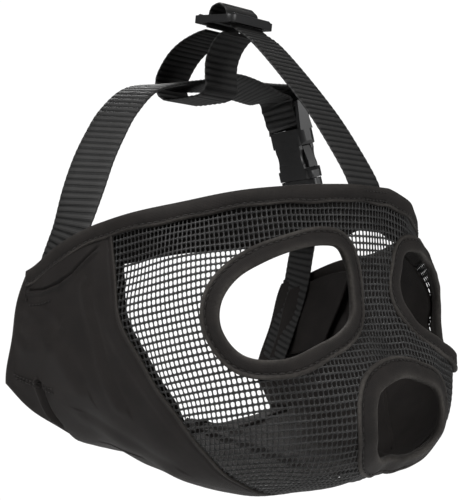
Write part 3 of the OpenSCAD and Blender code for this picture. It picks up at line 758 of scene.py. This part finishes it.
def top_tape():
    span = 90 + RIM_TOP
    a = np.linspace(-span, span, 420)
    out = outward(a, np.full_like(a, 1.0))
    high, low = place(a, np.zeros_like(a)), place(a, np.full_like(a, 4.0))
    up = unit(high - low)
    t, h = 1.6, 6.6
    section = [(0.35, 0.0), (0.28, 0.6 * t), (0.0, 0.98 * t), (-0.25 * h, 1.1 * t), (-0.55 * h, 1.0 * t),
               (-0.74 * h, 0.86 * t), (-0.8 * h, 0.66 * t), (-0.85 * h, 0.84 * t), (-0.93 * h, 0.88 * t),
               (-1.0 * h, 0.5 * t), (-1.0 * h, -0.4 * t), (-0.93 * h, -0.85 * t), (-0.8 * h, -0.7 * t),
               (-0.5 * h, -1.0 * t), (0, -0.95 * t), (0.28, -0.6 * t)]
    s = np.array(section)
    wob = 1 + 0.05 * np.sin(a * 0.21) + 0.03 * np.sin(a * 0.53 + 1)
    ring = (high[:, None] + up[:, None] * (wob[:, None] * s[:, 0])[..., None]
            + out[:, None] * s[:, 1][None, :, None])
    # Painted highlight along the tape's edges, for each point of the section, varied along the strap
    edge_highlight = np.array([0.2, 0.3, 0.35, 0.2, 0, 0, 0, 0.3, 0.8, 0.5, 0, 0, 0, 0, 0, 0.1])
    fade = 0.7 + 0.3 * np.sin(a * 0.31)
    obj = loft("brow_binding", ring, TAPE, painted_highlight=edge_highlight[None] * fade[:, None])
    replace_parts(obj, "top_binding")
    line = high - up * (0.8 * h * wob)[:, None] + out * 0.75 * t
    stitch_mesh("brow_binding_stitches", stitches_along(line, out), THREAD)


top_tape()

# ---------------------------------------------------------------- webbing


def frames(path, lie):
    """The directions across a strap and out of its face, turned by the path's twist."""
    along = unit(np.gradient(path[:, :3], axis=0))
    lie = np.asarray(lie, float)
    flat = unit(lie - (along @ lie)[:, None] * along)
    lift = np.cross(along, flat)
    t = np.radians(path[:, 3])[:, None]
    across = np.cos(t) * flat + np.sin(t) * lift
    return across, np.cross(along, across)


def ribbon(name, knots, lie, node_name, width=19.6, thick=1.5, body="mask", rib=RIB):
    dense = catmull(knots, 30)
    path, at = resample(dense, rib / 8)
    across, face = frames(path, lie)
    phase = (at / rib) % 1
    crown = np.sin(np.pi * phase) ** 0.8
    half = width / 2 + 0.10 * (crown - 0.5)
    # Across the strap: a thin woven edge, then ribs of full height
    shares = [-1.0, -0.985, -0.95, -0.88, -0.5, 0.0, 0.5, 0.88, 0.95, 0.985, 1.0]
    rise = [0.25, 0.6, 0.8, 1.0, 1.0, 1.0, 1.0, 1.0, 0.8, 0.6, 0.25]
    rings = []
    there = [(x, r, 1) for x, r in zip(shares, rise)]
    for x, r, up in there + [(x, r, -1) for x, r, _ in there[::-1]]:
        h = thick / 2 * r * (0.55 + 0.5 * crown * (1 if abs(x) < 0.93 else 0.4))
        rings.append(path[:, :3] + across * (half * x)[:, None] + up * face * h[:, None])
    ring = np.stack(rings, 1)
    ys = np.array(shares + shares[::-1]) * width / 2
    lay = np.stack([np.repeat(at[:, None], len(ys), 1), np.repeat(ys[None], len(at), 0),
                    np.zeros((len(at), len(ys)))], -1)
    obj = loft(name, ring, WEB, body=body, lay=lay)
    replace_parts(obj, node_name)
    return obj


LEAN, YAW = math.radians(15), math.radians(14)
BUCKLE = np.array([13, 74, 60.0])


def at_buckle(p):
    """A point in the buckle's own frame, leaned and turned into place."""
    y1 = p[1] * math.cos(LEAN) - p[2] * math.sin(LEAN)
    z1 = p[1] * math.sin(LEAN) + p[2] * math.cos(LEAN)
    return (BUCKLE + np.array([p[0] * math.cos(YAW) + y1 * math.sin(YAW),
                               -p[0] * math.sin(YAW) + y1 * math.cos(YAW), z1])).tolist()


neck = [[-4, -73.2, -27, 0], [4, -75, -8, 0], [11.5, -75.4, 8, 0], [17.5, -74.6, 21, 3],
        [20, -71.8, 31, 10], [20, -66.8, 44, 17], [19.5, -61.4, 56, 17], [19, -55.2, 66.5, 16],
        [18.5, -47.6, 77, 14], [17.5, -35, 87.6, 10], [15.5, -18, 92.6, 4],
        [14, 0, 95, -8], [14, 18, 98.4, -18], [13.5, 36, 97.2, -17], [12.6, 48, 95.6, -10]]
# Over the ladder's near face, under its lower bar and up behind both bars
for y, z in ((-5.6, 39), (-4.8, 35), (-4.3, 31), (-3.9, 26.6), (-1.0, 24.75), (2.2, 26.0),
             (3.3, 30.5), (3.4, 35)):
    neck.append(at_buckle([0, y, z]) + [0])
ribbon("neck_strap_web", neck, (1, 0, 0), "neck_strap_right")
tail = [at_buckle([0, y, z]) + [0] for y, z in ((3.3, 36.6), (2.4, 42), (-1.6, 44.6))]
tail += [[12.6, 56, 102.6, -6], [13.4, 46, 101.7, -8], [13.8, 36, 101.4, -12]]
ribbon("neck_tail_web", tail, (1, 0, 0), "neck_strap_tail")

BAR_Z = -10             # height of the male half's bar in the buckle's own frame
TURN = 1.6 + 0.7 + 0.35 # the bar's radius, half the webbing and its slack
left = [[-5, 73, -27, 0], [2, 74.9, -8, 0], [8, 75.2, 8, 0], [11.2, 75.4, 22, 0], [12.8, 76.9, 34, 0]]
left.append(at_buckle([0, 0.4, BAR_Z - 7]) + [0])
for a in range(-20, 201, 20):
    r = math.radians(a)
    left.append(at_buckle([0, TURN * math.cos(r), BAR_Z + TURN * math.sin(r)]) + [0])
left += [at_buckle([0, -3.4, BAR_Z - 6]) + [0], [12.8, 74, 37, 0], [11.8, 73.4, 28, 0]]
far = ribbon("buckle_strap_web", left, (0.97, -0.24, 0), "neck_strap_left", body=None)
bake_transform(far)

GX, GZ = 38.5, 118.6
fore = [[109.4, 0, 30, 0], [108.9, 0, 38, 0], [106.8, 0, 46, 0], [98.6, 0, 59, 0], [86.8, 0, 75, 0],
        [70.5, 0, 93.4, 0], [57, 0, 107, 0], [48.5, 0, 113.2, 0], [GX + 5.4, 0, GZ - 0.8, 0],
        [GX + 4.4, 0, GZ + 4, 0], [GX + 0.4, 0, GZ + 6.8, 0], [GX - 4, 0, GZ + 5.6, 0],
        [GX - 5.6, 0, GZ + 1.2, 0], [GX - 6.6, 0, GZ - 2.2, 0]]
strap = ribbon("forehead_web", fore, (0, 1, 0), "forehead_strap", body=None)
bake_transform(strap)
loop_knots = [[GX - 7.4, 0, GZ - 3.2, 0], [25, 0, 114.8, 0], [16.5, 0, 112.6, 0], [9.4, 0, 109, 0],
              [4, 0, 104, 0], [0.5, 0, 98.4, 0], [1.2, 0, 92.2, 0], [6.2, 0, 88.8, 0], [18, 0, 88, 0],
              [27, 0, 88.2, 0], [31.2, 0, 91, 0], [31, 0, 96, 0], [31.4, 0, 102.5, 0],
              [34.4, 0, 108.2, 0], [38.8, 0, 112, 0], [42, 0, 113, 0]]
loop_web = ribbon("forehead_loop_web", loop_knots, (0, 1, 0), "forehead_loop", body=None)
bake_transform(loop_web)


def patch(side, name, node_name):
    U, V = grid(np.linspace(0, 1, 30), np.linspace(0, 1, 30))
    D = mix(4, 27, V)
    A = rim_around(D) - mix(34, 10, U)
    obj = slab(name, side * A, D, -4.4, -3.6, CLOTH)
    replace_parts(obj, node_name)


patch(-1, "anchor_patch_cloth_right", "right_anchor_patch")
patch(1, "anchor_patch_cloth_left", "left_anchor_patch")


def anchor_rows(side, name, node_name):
    rows = []
    for a0, d0, a1, d1 in ((109.5, 28.7, 88, 34.0), (108.5, 29.9, 88, 35.1), (99, 2.0, 99, 9.5),
                           (97, 10.6, 86.5, 12.6)):
        t = np.linspace(0, 1, 60)
        a, d = mix(a0, a1, t), mix(d0, d1, t)
        out = 0.8 + cheek_relief(a, d)
        rows += stitches_along(place(side * a, d, out), outward(side * a, d), 1.9)
    obj = stitch_mesh(name, rows, THREAD)
    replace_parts(obj, node_name)


anchor_rows(-1, "anchor_stitch_rows_right", "right_anchor_stitches")
anchor_rows(1, "anchor_stitch_rows_left", "left_anchor_stitches")
rows = []
for d in (0.9, 2.6):
    a = np.linspace(-5.2, 5.2, 20)
    rows += stitches_along(place(a, np.full_like(a, d), 1.75), outward(a, np.full_like(a, d)), 1.9)
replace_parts(stitch_mesh("brow_stitch_rows", rows, THREAD), "brow_anchor_stitches")

# ---------------------------------------------------------------- plastic parts
for name in ("tri_glide", "buckle_female", "buckle_male", "front_prong", "rear_prong"):
    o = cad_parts[name]
    o.data.materials.clear()
    o.data.materials.append(PLASTIC)
    weld = o.modifiers.new("weld", "WELD")
    weld.merge_threshold = 0.00002
    bevel = o.modifiers.new("bevel", "BEVEL")
    bevel.width = 0.0004
    bevel.segments = 2
    bevel.limit_method = "ANGLE"
    bevel.angle_limit = math.radians(40)

# ---------------------------------------------------------------- stage, light, camera
bpy.ops.mesh.primitive_circle_add(vertices=128, radius=0.8, fill_type="NGON", location=(0.03, 0, -0.2))
floor = bpy.context.object
floor.name = "floor"
mat, nt, bsdf = new_mat("floor_paint")
bsdf.inputs["Base Color"].default_value = (0.9, 0.9, 0.9, 1)
bsdf.inputs["Roughness"].default_value = 0.9
floor.data.materials.append(mat)

world = bpy.data.worlds.new("studio")
bpy.context.scene.world = world
world.use_nodes = True
sky = world.node_tree
seen = sky.nodes["Background"]
seen.inputs["Color"].default_value = (1, 1, 1, 1)
seen.inputs["Strength"].default_value = 1.05
glow = sky.nodes.new("ShaderNodeBackground")
glow.inputs["Strength"].default_value = 0.13
either = sky.nodes.new("ShaderNodeMixShader")
ray = sky.nodes.new("ShaderNodeLightPath")
sky.links.new(ray.outputs["Is Camera Ray"], either.inputs[0])
sky.links.new(glow.outputs[0], either.inputs[1])
sky.links.new(seen.outputs[0], either.inputs[2])
sky.links.new(either.outputs[0], sky.nodes["World Output"].inputs["Surface"])


def area_light(name, where, at, size, watts):
    data = bpy.data.lights.new(name, "AREA")
    data.energy = watts
    data.size = size
    o = bpy.data.objects.new(name, data)
    bpy.context.scene.collection.objects.link(o)
    o.location = where
    o.rotation_mode = "QUATERNION"
    o.rotation_quaternion = (Vector(at) - Vector(where)).to_track_quat("-Z", "Y")


area_light("key", (0.1, -0.7, 0.75), (0.03, -0.02, 0.02), 0.45, 10)
area_light("fill", (0.95, 0.2, 0.35), (0.04, 0, 0.02), 0.4, 4.5)
area_light("rim", (-0.6, 0.5, 0.8), (0.04, 0, 0.02), 0.4, 4.5)

cam_data = bpy.data.cameras.new("camera")
cam_data.sensor_width = 36
cam_data.lens = 91.5
cam_data.clip_start = 0.01
cam_data.clip_end = 50
cam = bpy.data.objects.new("camera", cam_data)
bpy.context.scene.collection.objects.link(cam)
cam.location = (0.4059, -0.3889, -0.0089)
cam.rotation_mode = "QUATERNION"
cam.rotation_quaternion = (Vector((0.0369, 0, 0.022)) - cam.location).to_track_quat("-Z", "Y")
bpy.context.scene.camera = cam
bpy.context.scene.view_settings.view_transform = "Standard"
